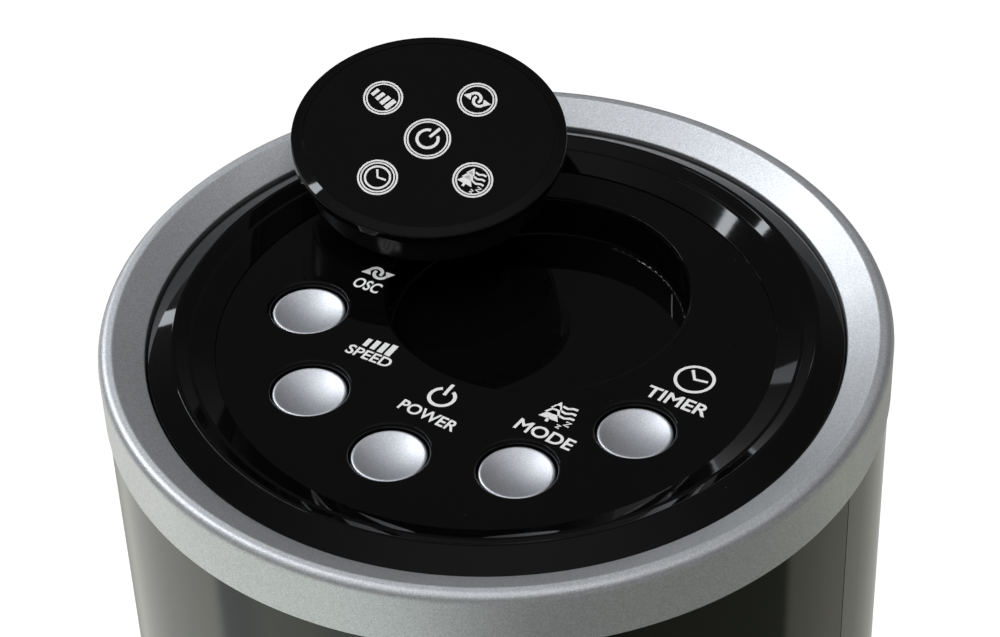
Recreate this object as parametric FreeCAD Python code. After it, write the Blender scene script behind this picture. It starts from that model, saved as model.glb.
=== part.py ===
"""Tower fan: a round column that swings on a round base, with a cross-flow impeller inside.

Millimetres. +Z is up, the front of the fan faces -Y, and +X is on the right of a person who looks
from the front. The origin is the centre of the base, on the surface that the feet stand on.
Each function makes one sub-part, or the few that are made together, and save() writes one STEP each.
"""
import FreeCAD
import Part
import math
import os

Vector = FreeCAD.Vector
UP = Vector(0, 0, 1)
ORIGIN = Vector(0, 0, 0)

# Overall sizes
column_top = 800.0
ring_radius = 85.0
base_radius = 145.0

# Clearances
running = 0.25
seam = 0.30
rotor_gap = 0.50
bush_gap = 0.04
touch = 0.05

# Base
foot_radius = 9.0
foot_height = 3.2
foot_sunk = 1.2
foot_circle = 124.0
feet_count = 5
base_wall = 2.6
base_edge = 12.0
base_screw_circle = 100.0
base_screw_count = 4
rib_circles = (0.95, 0.79, 0.55)
deck_height = 34.0
deck_outer = 82.0
deck_slope = 4.0
pocket_floor = 18.0
plate_thickness = 2.5
rib_height = 6.0
gland_bore = 2.9
gland_radius = 4.4
gland_length = 14.0

# Swivel
stem_radius = 19.0
stem_wall = 4.0
stem_flange = 33.0
flange_thickness = 3.0
hub_wall = 3.8
hub_height = 18.0
retainer_thickness = 2.4
retainer_rim = 5.0
clip_thickness = 1.2
thrust_inner = 68.0
thrust_outer = 76.0
thrust_thickness = 2.4
thrust_sunk = 0.9
tooth_module_least = 1.25
gear_teeth = 64
pinion_teeth = 16
gear_thickness = 7.0
backlash = 0.24
swing_shaft_radius = 3.0
swing_motor_radius = 24.5
swing_motor_height = 18.0
swing_ear = 31.0

# Column shells
shell_step = 0.40
shell_wall = 2.4
floor_thickness = 3.0
floor_gap = 1.9
lap_depth = 6.0
lap_wall = 1.2
window_half_angle = 50.0
window_bottom = 140.0
window_margin = 112.0
bar_height = 2.4
bar_pitch = 7.4
bar_depth = 2.4
rib_depth = 2.2
rib_width = 1.8
rib_count = 9
slot_width = 4.0
slot_half_angle = 62.0
slot_count = 25
slot_groups = 4
group_bar = 8.0
screw_tunnel = 4.6
screw_head = 3.0
screw_shank = 1.6
screw_length = 8.0
base_screw_length = 12.0
screw_inset = 26.0
screw_seat = 3.0
end_screw_share = 0.78
middle_screw_share = 0.89

# Impeller and air guides
impeller_radius = 48.0
impeller_y = 6.0
blade_inner = 38.0
blade_thickness = 1.3
blade_count = 32
blade_lean = 24.0
impeller_segments = 6
hub_radius = 9.5
disc_thickness = 1.6
end_gap = 14.0
frame_lip = 5.0
bracket_thickness = 3.0
guide_wall = 2.0
guide_gap = 5.0

# Drive motor
motor_radius = 40.0
stack_height = 27.0
cap_height = 13.0
winding_overhang = 7.0
rotor_radius = 19.5
shaft_radius = 4.0
bush_radius = 8.0
bush_length = 9.0
mount_circle = 47.0
mount_radius = 6.0
mount_height = 5.0

# Top: silver ring, black rim, panel, well
ring_band = 13.85
ring_inner = 75.2
ring_inner_drop = 3.6
ring_crest = 83.4
ring_skirt = 9.0
rim_gap = 0.35
rim_foot_drop = 4.2
rim_crest_radius = 68.9
rim_crest_drop = 1.15
rim_step_radius = 65.9
rim_step_width = 0.7
rim_step_drop = 2.8
rim_lip = 0.26
rim_wall = 2.2
panel_radius = 60.3
panel_drop = 5.46
panel_thickness = 2.6
ledge_width = 3.0
well_gap = 2.4
well_depth = 10.4
well_back = 17.7
well_wall = 2.2

# Buttons and board
button_names = ("osc", "speed", "power", "mode", "timer")
button_circle = 42.4
button_spacing = 37.1
button_radius = 8.0
button_gap = 0.45
bore_rounding = 0.9
button_sunk = 1.1
button_height = 4.2
button_dish = 1.3
button_guide = 9.6
collar_wall = 2.15
stem_side = 2.2
switch_side = 6.0
switch_height = 4.3
plunger_radius = 1.7
plunger_height = 1.4
board_radius = 56.0
board_thickness = 1.6
board_below_well = 6.0
post_radius = 3.4
post_circle = 50.5

# Remote control, lying out of its well with one edge on the panel
remote_radius = 31.0
remote_depth = 13.0
remote_flange = 3.0
remote_body = 29.0
remote_foot = 27.6
remote_wall = 1.6
remote_bevel = 0.6
remote_pad_radius = 16.0
remote_pad = 3.2
remote_tilt = 10.4
remote_lean_angle = -50.6
remote_x = -37.65
remote_y = 34.23
remote_edge_rise = 7.983
remote_up_angle = 122.8
film_thickness = 0.5
film_margin = 2.7
film_sunk = 0.05
key_spacing_x = 22.0
key_spacing_y = 24.5
key_drop = 2.0
tray_width = 24.0
tray_height = 3.6
tray_length = 24.0
cell_radius = 10.0
cell_height = 3.2
tray_turn = 170.0

# Places worked out from the sizes above
shell_radius = ring_radius - shell_step
well_radius = remote_radius + well_gap
button_bore = button_radius + button_gap
collar_radius = button_bore + collar_wall
remote_face_rise = remote_edge_rise + remote_radius * math.sin(math.radians(remote_tilt))
shell_inner = shell_radius - shell_wall
inner_radius = shell_inner - touch
shell_top = column_top - ring_band - seam
floor_z = deck_height + thrust_thickness - thrust_sunk + 0.1
shell_bottom = floor_z + floor_gap
tooth_module = max(tooth_module_least, 2 * (stem_radius + retainer_rim + running + swing_motor_radius)
                   / (gear_teeth + pinion_teeth))
pocket_radius = tooth_module * (gear_teeth + 2 * pinion_teeth + 2) / 2 + 2.0
gear_z = pocket_floor + flange_thickness
swing_centre = tooth_module * (gear_teeth + pinion_teeth) / 2
window_top = column_top - window_margin
lower_bracket_z = window_bottom - frame_lip - bracket_thickness - 0.6
upper_bracket_z = window_top + frame_lip + 0.6
impeller_bottom = lower_bracket_z + bracket_thickness + end_gap
impeller_top = upper_bracket_z - end_gap / 2
panel_z = column_top - panel_drop
well_floor_z = panel_z - well_depth
board_z = well_floor_z - well_wall - board_below_well
motor_top = lower_bracket_z - mount_height
stack_top = motor_top - cap_height - 1.0
stack_bottom = stack_top - stack_height
motor_bottom = stack_bottom - 1.0 - cap_height
axis_point = Vector(0, impeller_y, 0)


# ---- Shape helpers ---------------------------------------------------------------------------

def save(name, *solids):
    """Writes one STEP with the node's name, holding one solid or a group of separate ones."""
    parts = []
    for solid in solids:
        parts.extend(solid.Solids)
    shape = parts[0] if len(parts) == 1 else Part.makeCompound(parts)
    assert shape.isValid(), name
    shape.exportStep("parts/" + name + ".step")


def cylinder(radius, low, high, x=0.0, y=0.0):
    return Part.makeCylinder(radius, high - low, Vector(x, y, low))


def tube(outer, inner, low, high, x=0.0, y=0.0):
    return cylinder(outer, low, high, x, y).cut(cylinder(inner, low - 1, high + 1, x, y))


def block(x0, x1, y0, y1, z0, z1):
    return Part.makeBox(x1 - x0, y1 - y0, z1 - z0, Vector(x0, y0, z0))


def turned(shape, degrees, centre=ORIGIN, axis=UP):
    copy = shape.copy()
    copy.rotate(centre, axis, degrees)
    return copy


def moved(shape, x=0.0, y=0.0, z=0.0):
    copy = shape.copy()
    copy.translate(Vector(x, y, z))
    return copy


def around(shape, count, start=0.0, centre=ORIGIN):
    return [turned(shape, start + i * 360.0 / count, centre) for i in range(count)]


def joined(first, *others):
    return first.fuse(list(others)).removeSplitter() if others else first


def rounded_wire(corners, place):
    """A closed wire through (a, b, radius) corners; a corner with a radius is a tangent arc."""
    count = len(corners)
    ends = []
    for i, (a, b, radius) in enumerate(corners):
        here = Vector(a, b, 0)
        before = Vector(corners[i - 1][0], corners[i - 1][1], 0) - here
        after = Vector(corners[(i + 1) % count][0], corners[(i + 1) % count][1], 0) - here
        if radius <= 0:
            ends.append((here, here, here))
            continue
        before.normalize()
        after.normalize()
        half = math.acos(max(-1.0, min(1.0, before.dot(after)))) / 2
        reach = radius / math.tan(half)
        middle = (before + after).normalize()
        centre = here + middle * (radius / math.sin(half))
        ends.append((here + before * reach, centre - middle * radius, here + after * reach))
    edges = []
    for i, (start, mid, end) in enumerate(ends):
        if (start - end).Length > 1e-6:
            edges.append(Part.Arc(place(start), place(mid), place(end)).toShape())
        following = ends[(i + 1) % count][0]
        if (following - end).Length > 1e-6:
            edges.append(Part.LineSegment(place(end), place(following)).toShape())
    return Part.Wire(edges)


def lathe(corners, degrees=360.0):
    """Turns an (r, z, rounding) outline about the Z axis."""
    wire = rounded_wire(corners, lambda p: Vector(p.x, 0, p.y))
    return Part.Face(wire).revolve(ORIGIN, UP, degrees)


def sector(outer, inner, low, high, centre_angle, half_angle):
    """A curved bar between two radii, half_angle each side of centre_angle, both in degrees."""
    flat = Part.makePolygon([Vector(inner, 0, low), Vector(outer, 0, low),
                             Vector(outer, 0, high), Vector(inner, 0, high), Vector(inner, 0, low)])
    bar = Part.Face(flat).revolve(ORIGIN, UP, 2 * half_angle)
    return turned(bar, centre_angle - half_angle)


def screw(head_radius, shank, length, head_height=2.0):
    """A pan-head screw along Z, head underside at z 0 and shank downwards, with a cross slot."""
    head = Part.makeCylinder(head_radius, head_height)
    slot = block(-head_radius * 0.6, head_radius * 0.6, -0.35, 0.35, head_height * 0.45, head_height + 1)
    head = head.cut(slot).cut(turned(slot, 90))
    return head.fuse(Part.makeCylinder(shank, length, Vector(0, 0, -length)))


# ---- Base ------------------------------------------------------------------------------------

def foot_places():
    step = 2 * math.pi / feet_count
    return [(foot_circle * math.cos(-math.pi / 2 + i * step),
             foot_circle * math.sin(-math.pi / 2 + i * step)) for i in range(feet_count)]


def make_base_feet():
    pad = lathe([(0, 0, 0), (foot_radius, 0, 0.8), (foot_radius, foot_height, 0), (0, foot_height, 0)])
    save("base_feet", *[moved(pad, x, y) for x, y in foot_places()])


def plate_bottom():
    return foot_height - foot_sunk


def make_base_plate():
    """The underside of the base: a ribbed disc with a pocket for each foot and screw holes."""
    low = plate_bottom()
    high = low + plate_thickness
    radius = base_radius - base_wall - seam
    plate = cylinder(radius, low, high)
    ribs = [tube(radius * share, radius * share - 2.0, high, high + rib_height) for share in rib_circles]
    spoke = block(40.0, radius * rib_circles[0] - 1.0, -1.0, 1.0, high, high + rib_height)
    centre = tube(42.0, 38.0, high, pocket_floor - base_wall - touch)
    body = joined(plate, centre, *ribs, *around(spoke, 2 * feet_count, 90.0 / feet_count))
    for x, y in foot_places():
        body = body.cut(cylinder(foot_radius + touch, low - 1, foot_height, x, y))
    for x, y in base_screw_places():
        body = body.cut(cylinder(screw_shank + 0.2, low - 1, high + rib_height + 1, x, y))
        body = body.cut(cylinder(screw_head + 0.3, low - 1, low + 0.9, x, y))
    side = gland_radius + 0.5
    notch = block(-side, side, base_radius - gland_length - 1, base_radius, low - 1, high + 2 * gland_radius)
    save("base_plate", body.cut(notch))


def base_screw_places():
    angles = [math.radians(360.0 * (i + 0.5) / base_screw_count) for i in range(base_screw_count)]
    return [(base_screw_circle * math.cos(a), base_screw_circle * math.sin(a)) for a in angles]


def make_base_cover():
    """The glossy dome: edge, shallow cone, flat deck under the column, and a pocket for the gears."""
    low = plate_bottom()
    wall = base_wall
    step_z = deck_height - deck_slope
    outline = [
        (base_radius, low, 0), (base_radius, low + base_edge, 5.0),
        (deck_outer + 6.0, step_z, 9.0), (deck_outer, deck_height, 1.2),
        (pocket_radius, deck_height, 0.5), (pocket_radius, pocket_floor, 1.0),
        (stem_radius - stem_wall + 0.5, pocket_floor, 0),
        (stem_radius - stem_wall + 0.5, pocket_floor - wall, 0),
        (pocket_radius + wall, pocket_floor - wall, 2.0), (pocket_radius + wall, deck_height - wall, 0.5),
        (deck_outer - 1.5, deck_height - wall, 1.0), (deck_outer + 5.0, step_z - wall, 6.0),
        (base_radius - wall, low + base_edge - wall, 2.5), (base_radius - wall, low, 0)]
    cover = lathe(outline)
    groove = tube(thrust_outer + touch, thrust_inner - touch, deck_height - thrust_sunk, deck_height + 1)
    cover = cover.cut(groove)
    hole = Part.makeCylinder(gland_radius, 20.0, Vector(0, base_radius - 16, gland_z()), Vector(0, 1, 0))
    cover = cover.cut(hole)
    for x, y in stem_screw_places():
        cover = cover.cut(cylinder(screw_shank, pocket_floor - wall - 1, pocket_floor + 1, x, y))
    for x, y in base_screw_places():
        boss = cylinder(4.2, plate_bottom() + plate_thickness + touch, deck_height, x, y)
        boss = boss.cut(cylinder(screw_shank, 0, low + base_screw_length + 2.0, x, y))
        cover = cover.fuse(boss.common(dome_inside()))
    save("base_cover", cover.removeSplitter())


def dome_inside():
    """The space under the dome, a little into its wall, that the screw bosses are cut to."""
    step_z = deck_height - deck_slope
    outline = [(0, 0, 0), (base_radius - base_wall / 2, 0, 0),
               (base_radius - base_wall / 2, plate_bottom() + base_edge - base_wall / 2, 0),
               (deck_outer + 5.5, step_z - base_wall / 2, 0), (0, step_z - base_wall / 2, 0)]
    return lathe(outline)


def gland_z():
    return plate_bottom() + gland_radius + 0.9


def make_cord_gland():
    """A rubber bush in the back of the base edge, where the mains lead comes out."""
    outer = base_radius + 1.4
    along = Vector(0, 1, 0)
    start = outer - gland_length
    body = Part.makeCylinder(gland_radius - touch, gland_length, Vector(0, start, gland_z()), along)
    lip = Part.makeCylinder(gland_radius + 0.8, 1.2, Vector(0, base_radius + 0.2, gland_z()), along)
    bore = Part.makeCylinder(gland_bore, gland_length + 2, Vector(0, start - 1, gland_z()), along)
    save("cord_gland", body.fuse(lip).removeSplitter().cut(bore))


def make_base_screws():
    low = plate_bottom()
    screws = []
    for x, y in base_screw_places():
        one = turned(screw(screw_head, screw_shank - 0.05, base_screw_length), 180, ORIGIN, Vector(1, 0, 0))
        screws.append(moved(one, x, y, low + 0.9))
    for x, y in stem_screw_places():
        one = screw(screw_head, screw_shank - 0.05, base_screw_length)
        screws.append(moved(one, x, y, gear_z + gear_thickness))
    save("base_screws", *screws)


# ---- Swivel ----------------------------------------------------------------------------------

def stem_screw_places():
    circle = (stem_flange + stem_radius) / 2 + 1.0
    return [(circle * math.cos(math.radians(a)), circle * math.sin(math.radians(a)))
            for a in (45, 135, 225, 315)]


def hub_top():
    return floor_z + hub_height


def make_swivel_stem():
    """The hollow post that the column turns on; the leads run up through it."""
    shoulder = hub_top() + 0.3
    top = shoulder + retainer_thickness + clip_thickness + 1.6
    bore = stem_radius - stem_wall
    stem = joined(cylinder(stem_flange, pocket_floor, gear_z), cylinder(stem_radius, gear_z, shoulder),
                  cylinder(stem_radius - 2.0, shoulder, top))
    stem = stem.cut(cylinder(bore, pocket_floor - 1, top + 1))
    clip_z = shoulder + retainer_thickness + touch
    groove = tube(stem_radius, stem_radius - 3.0, clip_z, clip_z + clip_thickness + 0.1)
    stem = stem.cut(groove)
    for x, y in stem_screw_places():
        stem = stem.cut(cylinder(screw_shank + 0.2, pocket_floor - 1, gear_z + 1, x, y))
    save("swivel_stem", stem)
    washer = tube(stem_radius + retainer_rim, stem_radius - 2.0 + touch, shoulder, shoulder + retainer_thickness)
    save("swivel_washer", washer)
    clip = tube(stem_radius + 1.2, stem_radius - 3.0 + touch, clip_z, clip_z + clip_thickness)
    clip = clip.cut(block(0, stem_radius + 5, -4.5, 4.5, clip_z - 1, clip_z + clip_thickness + 1))
    save("swivel_clip", clip)


def gear_outline(teeth, tip_add, root_sub, thin):
    """A spur gear's closed outline: involute flanks, round tips and roots, first tooth on +X."""
    pitch = tooth_module * teeth / 2
    base = pitch * math.cos(math.radians(20.0))
    tip = pitch + tip_add
    root = pitch - root_sub

    def roll(radius):
        """The involute's polar angle at a radius."""
        t = math.sqrt(max(0.0, (radius / base) ** 2 - 1))
        return t - math.atan(t)

    half_tooth = math.pi / (2 * teeth) - thin / (2 * pitch) + roll(pitch)
    start = max(base, root) * 1.0005
    radii = [start + (tip - start) * k / 4.0 for k in range(5)]

    def at(radius, angle):
        return Vector(radius * math.cos(angle), radius * math.sin(angle), 0)

    edges = []
    for n in range(teeth):
        middle = 2 * math.pi * n / teeth
        following = middle + 2 * math.pi / teeth
        rise = [at(r, middle - half_tooth + roll(r)) for r in radii]
        fall = [at(r, middle + half_tooth - roll(r)) for r in reversed(radii)]
        low_right = at(root, middle - half_tooth + roll(start))
        low_left = at(root, middle + half_tooth - roll(start))
        next_right = at(root, following - half_tooth + roll(start))
        edges.append(Part.LineSegment(low_right, rise[0]).toShape())
        for points in (rise, fall):
            flank = Part.BSplineCurve()
            flank.interpolate(points)
            edges.append(flank.toShape())
            if points is rise:
                edges.append(Part.Arc(rise[-1], at(tip, middle), fall[0]).toShape())
        edges.append(Part.LineSegment(fall[-1], low_left).toShape())
        edges.append(Part.Arc(low_left, at(root, (middle + following) / 2), next_right).toShape())
    return Part.Wire(edges)


def gear_body(teeth, thickness):
    """Short addendum on both gears, so that the small pinion runs clear of interference."""
    wire = gear_outline(teeth, 0.8 * tooth_module, 1.1 * tooth_module, backlash / 2)
    return Part.Face(wire).extrude(Vector(0, 0, thickness))


def make_swing_gears():
    """The fixed gear on the base, and the pinion that walks round it behind the axis."""
    gear = turned(gear_body(gear_teeth, gear_thickness), 90.0)
    gear = moved(gear, 0, 0, gear_z).cut(cylinder(stem_radius + touch, gear_z - 1, gear_z + 20))
    for x, y in stem_screw_places():
        gear = gear.cut(cylinder(screw_shank + 0.2, gear_z - 1, gear_z + 20, x, y))
    save("swing_gear", gear)
    pinion = turned(gear_body(pinion_teeth, gear_thickness + 1.0), 90.0 + 180.0 / pinion_teeth)
    pinion = moved(pinion, 0, swing_centre, gear_z - 0.5)
    hub_high = floor_z - 1.0
    pinion = pinion.fuse(cylinder(6.0, gear_z + gear_thickness, hub_high, 0, swing_centre))
    bore = cylinder(swing_shaft_radius + touch, gear_z - 2, hub_high + 1, 0, swing_centre)
    save("swing_pinion", pinion.removeSplitter().cut(bore))
    top = floor_z + floor_thickness + 10.0
    save("swing_shaft", cylinder(swing_shaft_radius, gear_z - 0.5, top, 0, swing_centre))


def make_thrust_ring():
    low = deck_height - thrust_sunk
    save("thrust_ring", tube(thrust_outer, thrust_inner, low, low + thrust_thickness))


def shell_screw_sites():
    """(x, z) of the six screws that hold the two shells together, clear of the air window."""
    places = ((end_screw_share, shell_bottom + screw_inset),
              (middle_screw_share, (shell_bottom + shell_top) / 2),
              (end_screw_share, shell_top - screw_inset))
    return [(side * share * shell_radius, z) for side in (-1, 1) for share, z in places]


def make_column_floor():
    """The turntable: the column's bottom plate with a hub that runs on the stem."""
    low = floor_z
    high = low + floor_thickness
    plate = cylinder(inner_radius, low + floor_gap, high + 3.0).cut(
        cylinder(inner_radius - 3.0, high, high + 4.0))
    disc = cylinder(thrust_outer + 2.0, low, high)
    hub = cylinder(stem_radius + running + hub_wall, high, hub_top())
    body = joined(disc, plate, hub)
    body = body.cut(cylinder(stem_radius + running, low - 1, hub_top() + 1))
    body = body.cut(cylinder(swing_shaft_radius + 1.2, low - 1, high + 1, 0, swing_centre))
    for side in (-1, 1):
        body = body.cut(cylinder(screw_shank - 0.05, low - 1, high + 1, side * swing_ear, swing_centre))
    save("column_floor", body)


def make_swing_motor():
    low = floor_z + floor_thickness
    can = cylinder(swing_motor_radius, low, low + swing_motor_height, 0, swing_centre)
    ear_high = low + screw_length - floor_thickness
    ear = block(-swing_ear - 4.5, swing_ear + 4.5, swing_centre - 4.5, swing_centre + 4.5, low, ear_high)
    body = joined(can, ear)
    bore = cylinder(swing_shaft_radius + touch, low - 1, low + 10.0 + touch, 0, swing_centre)
    body = body.cut(bore)
    for side in (-1, 1):
        body = body.cut(cylinder(screw_shank + 0.2, low - 1, ear_high + 1, side * swing_ear, swing_centre))
    save("swing_motor", body)
    box = block(-18.0, 18.0, -62.0, -44.0, low + touch, low + 26.0)
    save("run_capacitor", box)


# ---- Column shells ---------------------------------------------------------------------------

def half_skin(outer, inner, low, high, front, trim=0.0):
    """Half a tube, cut on the X axis, the front half if front is true."""
    whole = tube(outer, inner, low, high)
    reach = outer + 5
    keep = block(-reach, reach, -reach, -trim, low - 1, high + 1)
    if not front:
        keep = block(-reach, reach, trim, reach, low - 1, high + 1)
    return whole.common(keep)


def make_front_shell():
    """The front half, with the air window and the posts that take the six shell screws."""
    skin = half_skin(shell_radius, shell_inner, shell_bottom, shell_top, True, seam / 2)
    window = sector(shell_radius + 3, shell_inner - 3, window_bottom, window_top, -90, window_half_angle)
    posts = []
    for x, z in shell_screw_sites():
        post = Part.makeCylinder(screw_tunnel, shell_radius, Vector(x, -seam / 2, z), Vector(0, -1, 0))
        post = post.common(cylinder(shell_radius - shell_wall / 2, z - 20, z + 20))
        pilot = Part.makeCylinder(screw_shank, screw_length, Vector(x, 0, z), Vector(0, -1, 0))
        posts.append(post.cut(pilot))
    save("front_shell", joined(skin.cut(window), *posts))


def make_rear_shell():
    """The rear half, with the intake slots, the lap behind the seam and the screw tunnels."""
    skin = half_skin(shell_radius, shell_inner, shell_bottom, shell_top, False, seam / 2)
    lap_outer = shell_inner - touch
    lap = tube(lap_outer, lap_outer - lap_wall, window_bottom, window_top).common(
        block(-shell_radius, shell_radius, -lap_depth, lap_depth, window_bottom, window_top))
    bridge = tube(shell_inner + 0.5, lap_outer - lap_wall, window_bottom, window_top).common(
        block(-shell_radius, shell_radius, seam / 2, lap_depth, window_bottom, window_top))
    pitch = (window_top - window_bottom - 10.0) / slot_groups
    slots = []
    for column in range(slot_count):
        angle = -slot_half_angle + 2 * slot_half_angle * column / (slot_count - 1)
        for group in range(slot_groups):
            low = window_bottom + 5.0 + pitch * group
            cut = block(-slot_width / 2, slot_width / 2, shell_inner - 4, shell_radius + 3,
                        low, low + pitch - group_bar)
            slots.append(turned(cut, angle))
    skin = skin.cut(Part.makeCompound(slots))
    body = joined(skin, lap, bridge)
    for x, z in shell_screw_sites():
        tunnel = Part.makeCylinder(screw_tunnel, shell_radius, Vector(x, seam / 2, z), Vector(0, 1, 0))
        tunnel = tunnel.common(cylinder(shell_radius - shell_wall / 2, z - 20, z + 20))
        clear = Part.makeCylinder(screw_shank + 0.2, 8.0, Vector(x, -1, z), Vector(0, 1, 0))
        well = Part.makeCylinder(screw_head + 0.3, shell_radius, Vector(x, screw_seat, z), Vector(0, 1, 0))
        near_lap = Part.makeCylinder(screw_tunnel + touch, 40.0, Vector(x, seam / 2, z), Vector(0, -1, 0))
        body = body.cut(near_lap).fuse(tunnel).cut(well).cut(clear)
    save("rear_shell", body.removeSplitter())


def make_column_screws():
    """Twelve screws of one size: six join the shells, two hold the swing motor, four the board."""
    one = screw(screw_head, screw_shank - 0.05, screw_length)
    shell_screw = turned(one, -90, ORIGIN, Vector(1, 0, 0))
    screws = [moved(shell_screw, x, screw_seat, z) for x, z in shell_screw_sites()]
    screws += [moved(one, side * swing_ear, swing_centre, floor_z + screw_length) for side in (-1, 1)]
    board_screw = turned(one, 180, ORIGIN, Vector(1, 0, 0))
    screws += [moved(board_screw, x, y, board_z) for x, y in post_places()]
    save("column_screws", *screws)


def make_outlet_grille():
    """Curved bars across the air window, tied by thin ribs behind them and a frame behind the skin."""
    front = shell_radius - 0.7
    back = shell_inner - touch
    half = window_half_angle - 0.3
    low = window_bottom + 0.4
    high = window_top - 0.4
    frame = sector(back, back - rib_depth, window_bottom - frame_lip, window_top + frame_lip,
                   -90, window_half_angle + 4)
    frame = frame.cut(sector(back + 1, back - rib_depth - 1, low + 4, high - 4, -90, half - 2.5))
    border = sector(front, back - rib_depth, low, high, -90, half)
    border = border.cut(sector(front + 1, back - rib_depth - 1, low + 4, high - 4, -90, half - 2.5))
    count = int((high - low - 8) / bar_pitch)
    pitch = (high - low - 8) / count
    bars = []
    for i in range(1, count):
        z = low + 4 + pitch * i
        bars.append(sector(front, front - bar_depth, z - bar_height / 2, z + bar_height / 2, -90, half - 2.4))
    ribs = []
    rib_half = math.degrees(rib_width / 2 / back)
    for i in range(rib_count):
        angle = -90 + (half - 2.5) * (2 * (i + 1) / (rib_count + 1) - 1)
        ribs.append(sector(front - bar_depth + 0.6, back - rib_depth, low + 3, high - 3, angle, rib_half))
    save("outlet_grille", border.fuse([frame] + bars + ribs))


# ---- Impeller and its bearings ---------------------------------------------------------------

def blade_face(low):
    """One blade's section: a curved strip from the inner to the outer radius, leaning forward."""
    lean = math.radians(blade_lean)
    inner = Vector(blade_inner, 0, low)
    outer = Vector(impeller_radius * math.cos(lean / 2), impeller_radius * math.sin(lean / 2), low)
    along = outer - inner
    across = Vector(-along.y, along.x, 0).normalize()
    bow = along.Length * 0.16
    middle = (inner + outer) * 0.5 - across * bow
    shift = across * blade_thickness
    near = Part.Arc(inner, middle, outer).toShape()
    far = Part.Arc(inner + shift, middle + shift, outer + shift).toShape()
    ends = [Part.LineSegment(outer, outer + shift).toShape(), Part.LineSegment(inner + shift, inner).toShape()]
    return Part.Face(Part.Wire([near, ends[0], far, ends[1]]))


def make_impeller():
    """The cross-flow wheel: forward-curved blades between rings, with a solid disc at each end."""
    low = impeller_bottom
    high = impeller_top
    blade = blade_face(low).extrude(Vector(0, 0, high - low))
    blades = around(blade, blade_count)
    rim = impeller_radius + 0.6
    step = (high - low - disc_thickness) / impeller_segments
    rings = [tube(rim, blade_inner - 1.5, low + step * i, low + step * i + disc_thickness)
             for i in range(1, impeller_segments)]
    ends = [cylinder(rim, low, low + disc_thickness), cylinder(rim, high - disc_thickness, high)]
    bosses = [cylinder(12.0, low - 1.0, low + 10.0), cylinder(10.0, high - 12.0, high + 1.0)]
    wheel = ends[0].fuse([ends[1]] + rings + blades + bosses)
    wheel = wheel.cut(cylinder(hub_radius, low - 2, low + 11))
    wheel = wheel.cut(cylinder(shaft_radius + 0.02, high - 9, high + 2))
    save("impeller", moved(wheel, 0, impeller_y, 0))
    hub = tube(hub_radius - 0.02, shaft_radius + 0.02, low - 8.0, low + 10.9)
    save("impeller_hub", moved(hub, 0, impeller_y, 0))
    pin = cylinder(shaft_radius, high - 9.0, upper_bracket_z + bush_length + 1.0, 0, impeller_y)
    save("impeller_pin", pin)


def make_upper_bracket():
    """The plate over the impeller, with a rubber-cushioned bush for the top pin."""
    low = upper_bracket_z
    high = low + bracket_thickness
    bush_high = low + bush_length
    plate = cylinder(inner_radius, low, high)
    housing = cylinder(17.0, high, bush_high, 0, impeller_y)
    ribs = [block(-inner_radius + 6, inner_radius - 6, impeller_y - 1.2, impeller_y + 1.2, high, high + 4)]
    body = joined(plate, housing, *ribs)
    body = body.cut(cylinder(14.0, low - 1, bush_high + 1, 0, impeller_y))
    body = body.cut(side_clearance(low, high + 6))
    body = body.cut(block(-3.5, 3.5, -inner_radius + 8, -inner_radius + 20, low - 1, high + 1))
    save("upper_bracket", body)
    cushion = tube(14.0 - touch, bush_radius + touch / 2, low + 0.2, bush_high - 0.2, 0, impeller_y)
    save("bearing_cushion", cushion)


def side_clearance(low, high):
    """Two notches at the sides of a plate, so that it passes the shells' screw posts and lap."""
    wide = shell_radius * middle_screw_share - screw_tunnel - 1.0
    left = block(-shell_radius, -wide, -lap_depth - 1, lap_depth + 1, low - 1, high + 1)
    right = block(wide, shell_radius, -lap_depth - 1, lap_depth + 1, low - 1, high + 1)
    return left.fuse(right)


def mount_places(circle):
    angles = [math.radians(90 + 120 * i) for i in range(3)]
    return [(circle * math.cos(a), impeller_y + circle * math.sin(a)) for a in angles]


def make_lower_bracket():
    low = lower_bracket_z
    high = low + bracket_thickness
    plate = cylinder(inner_radius, low, high)
    plate = plate.cut(cylinder(14.0, low - 1, high + 1, 0, impeller_y))
    plate = plate.cut(side_clearance(low, high))
    for x, y in mount_places(mount_circle):
        plate = plate.cut(cylinder(2.2, low - 1, high + 1, x, y))
    rim = tube(inner_radius, inner_radius - 2.0, low - 6, low).cut(side_clearance(low - 7, low + 1))
    save("lower_bracket", joined(plate, rim))


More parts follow.
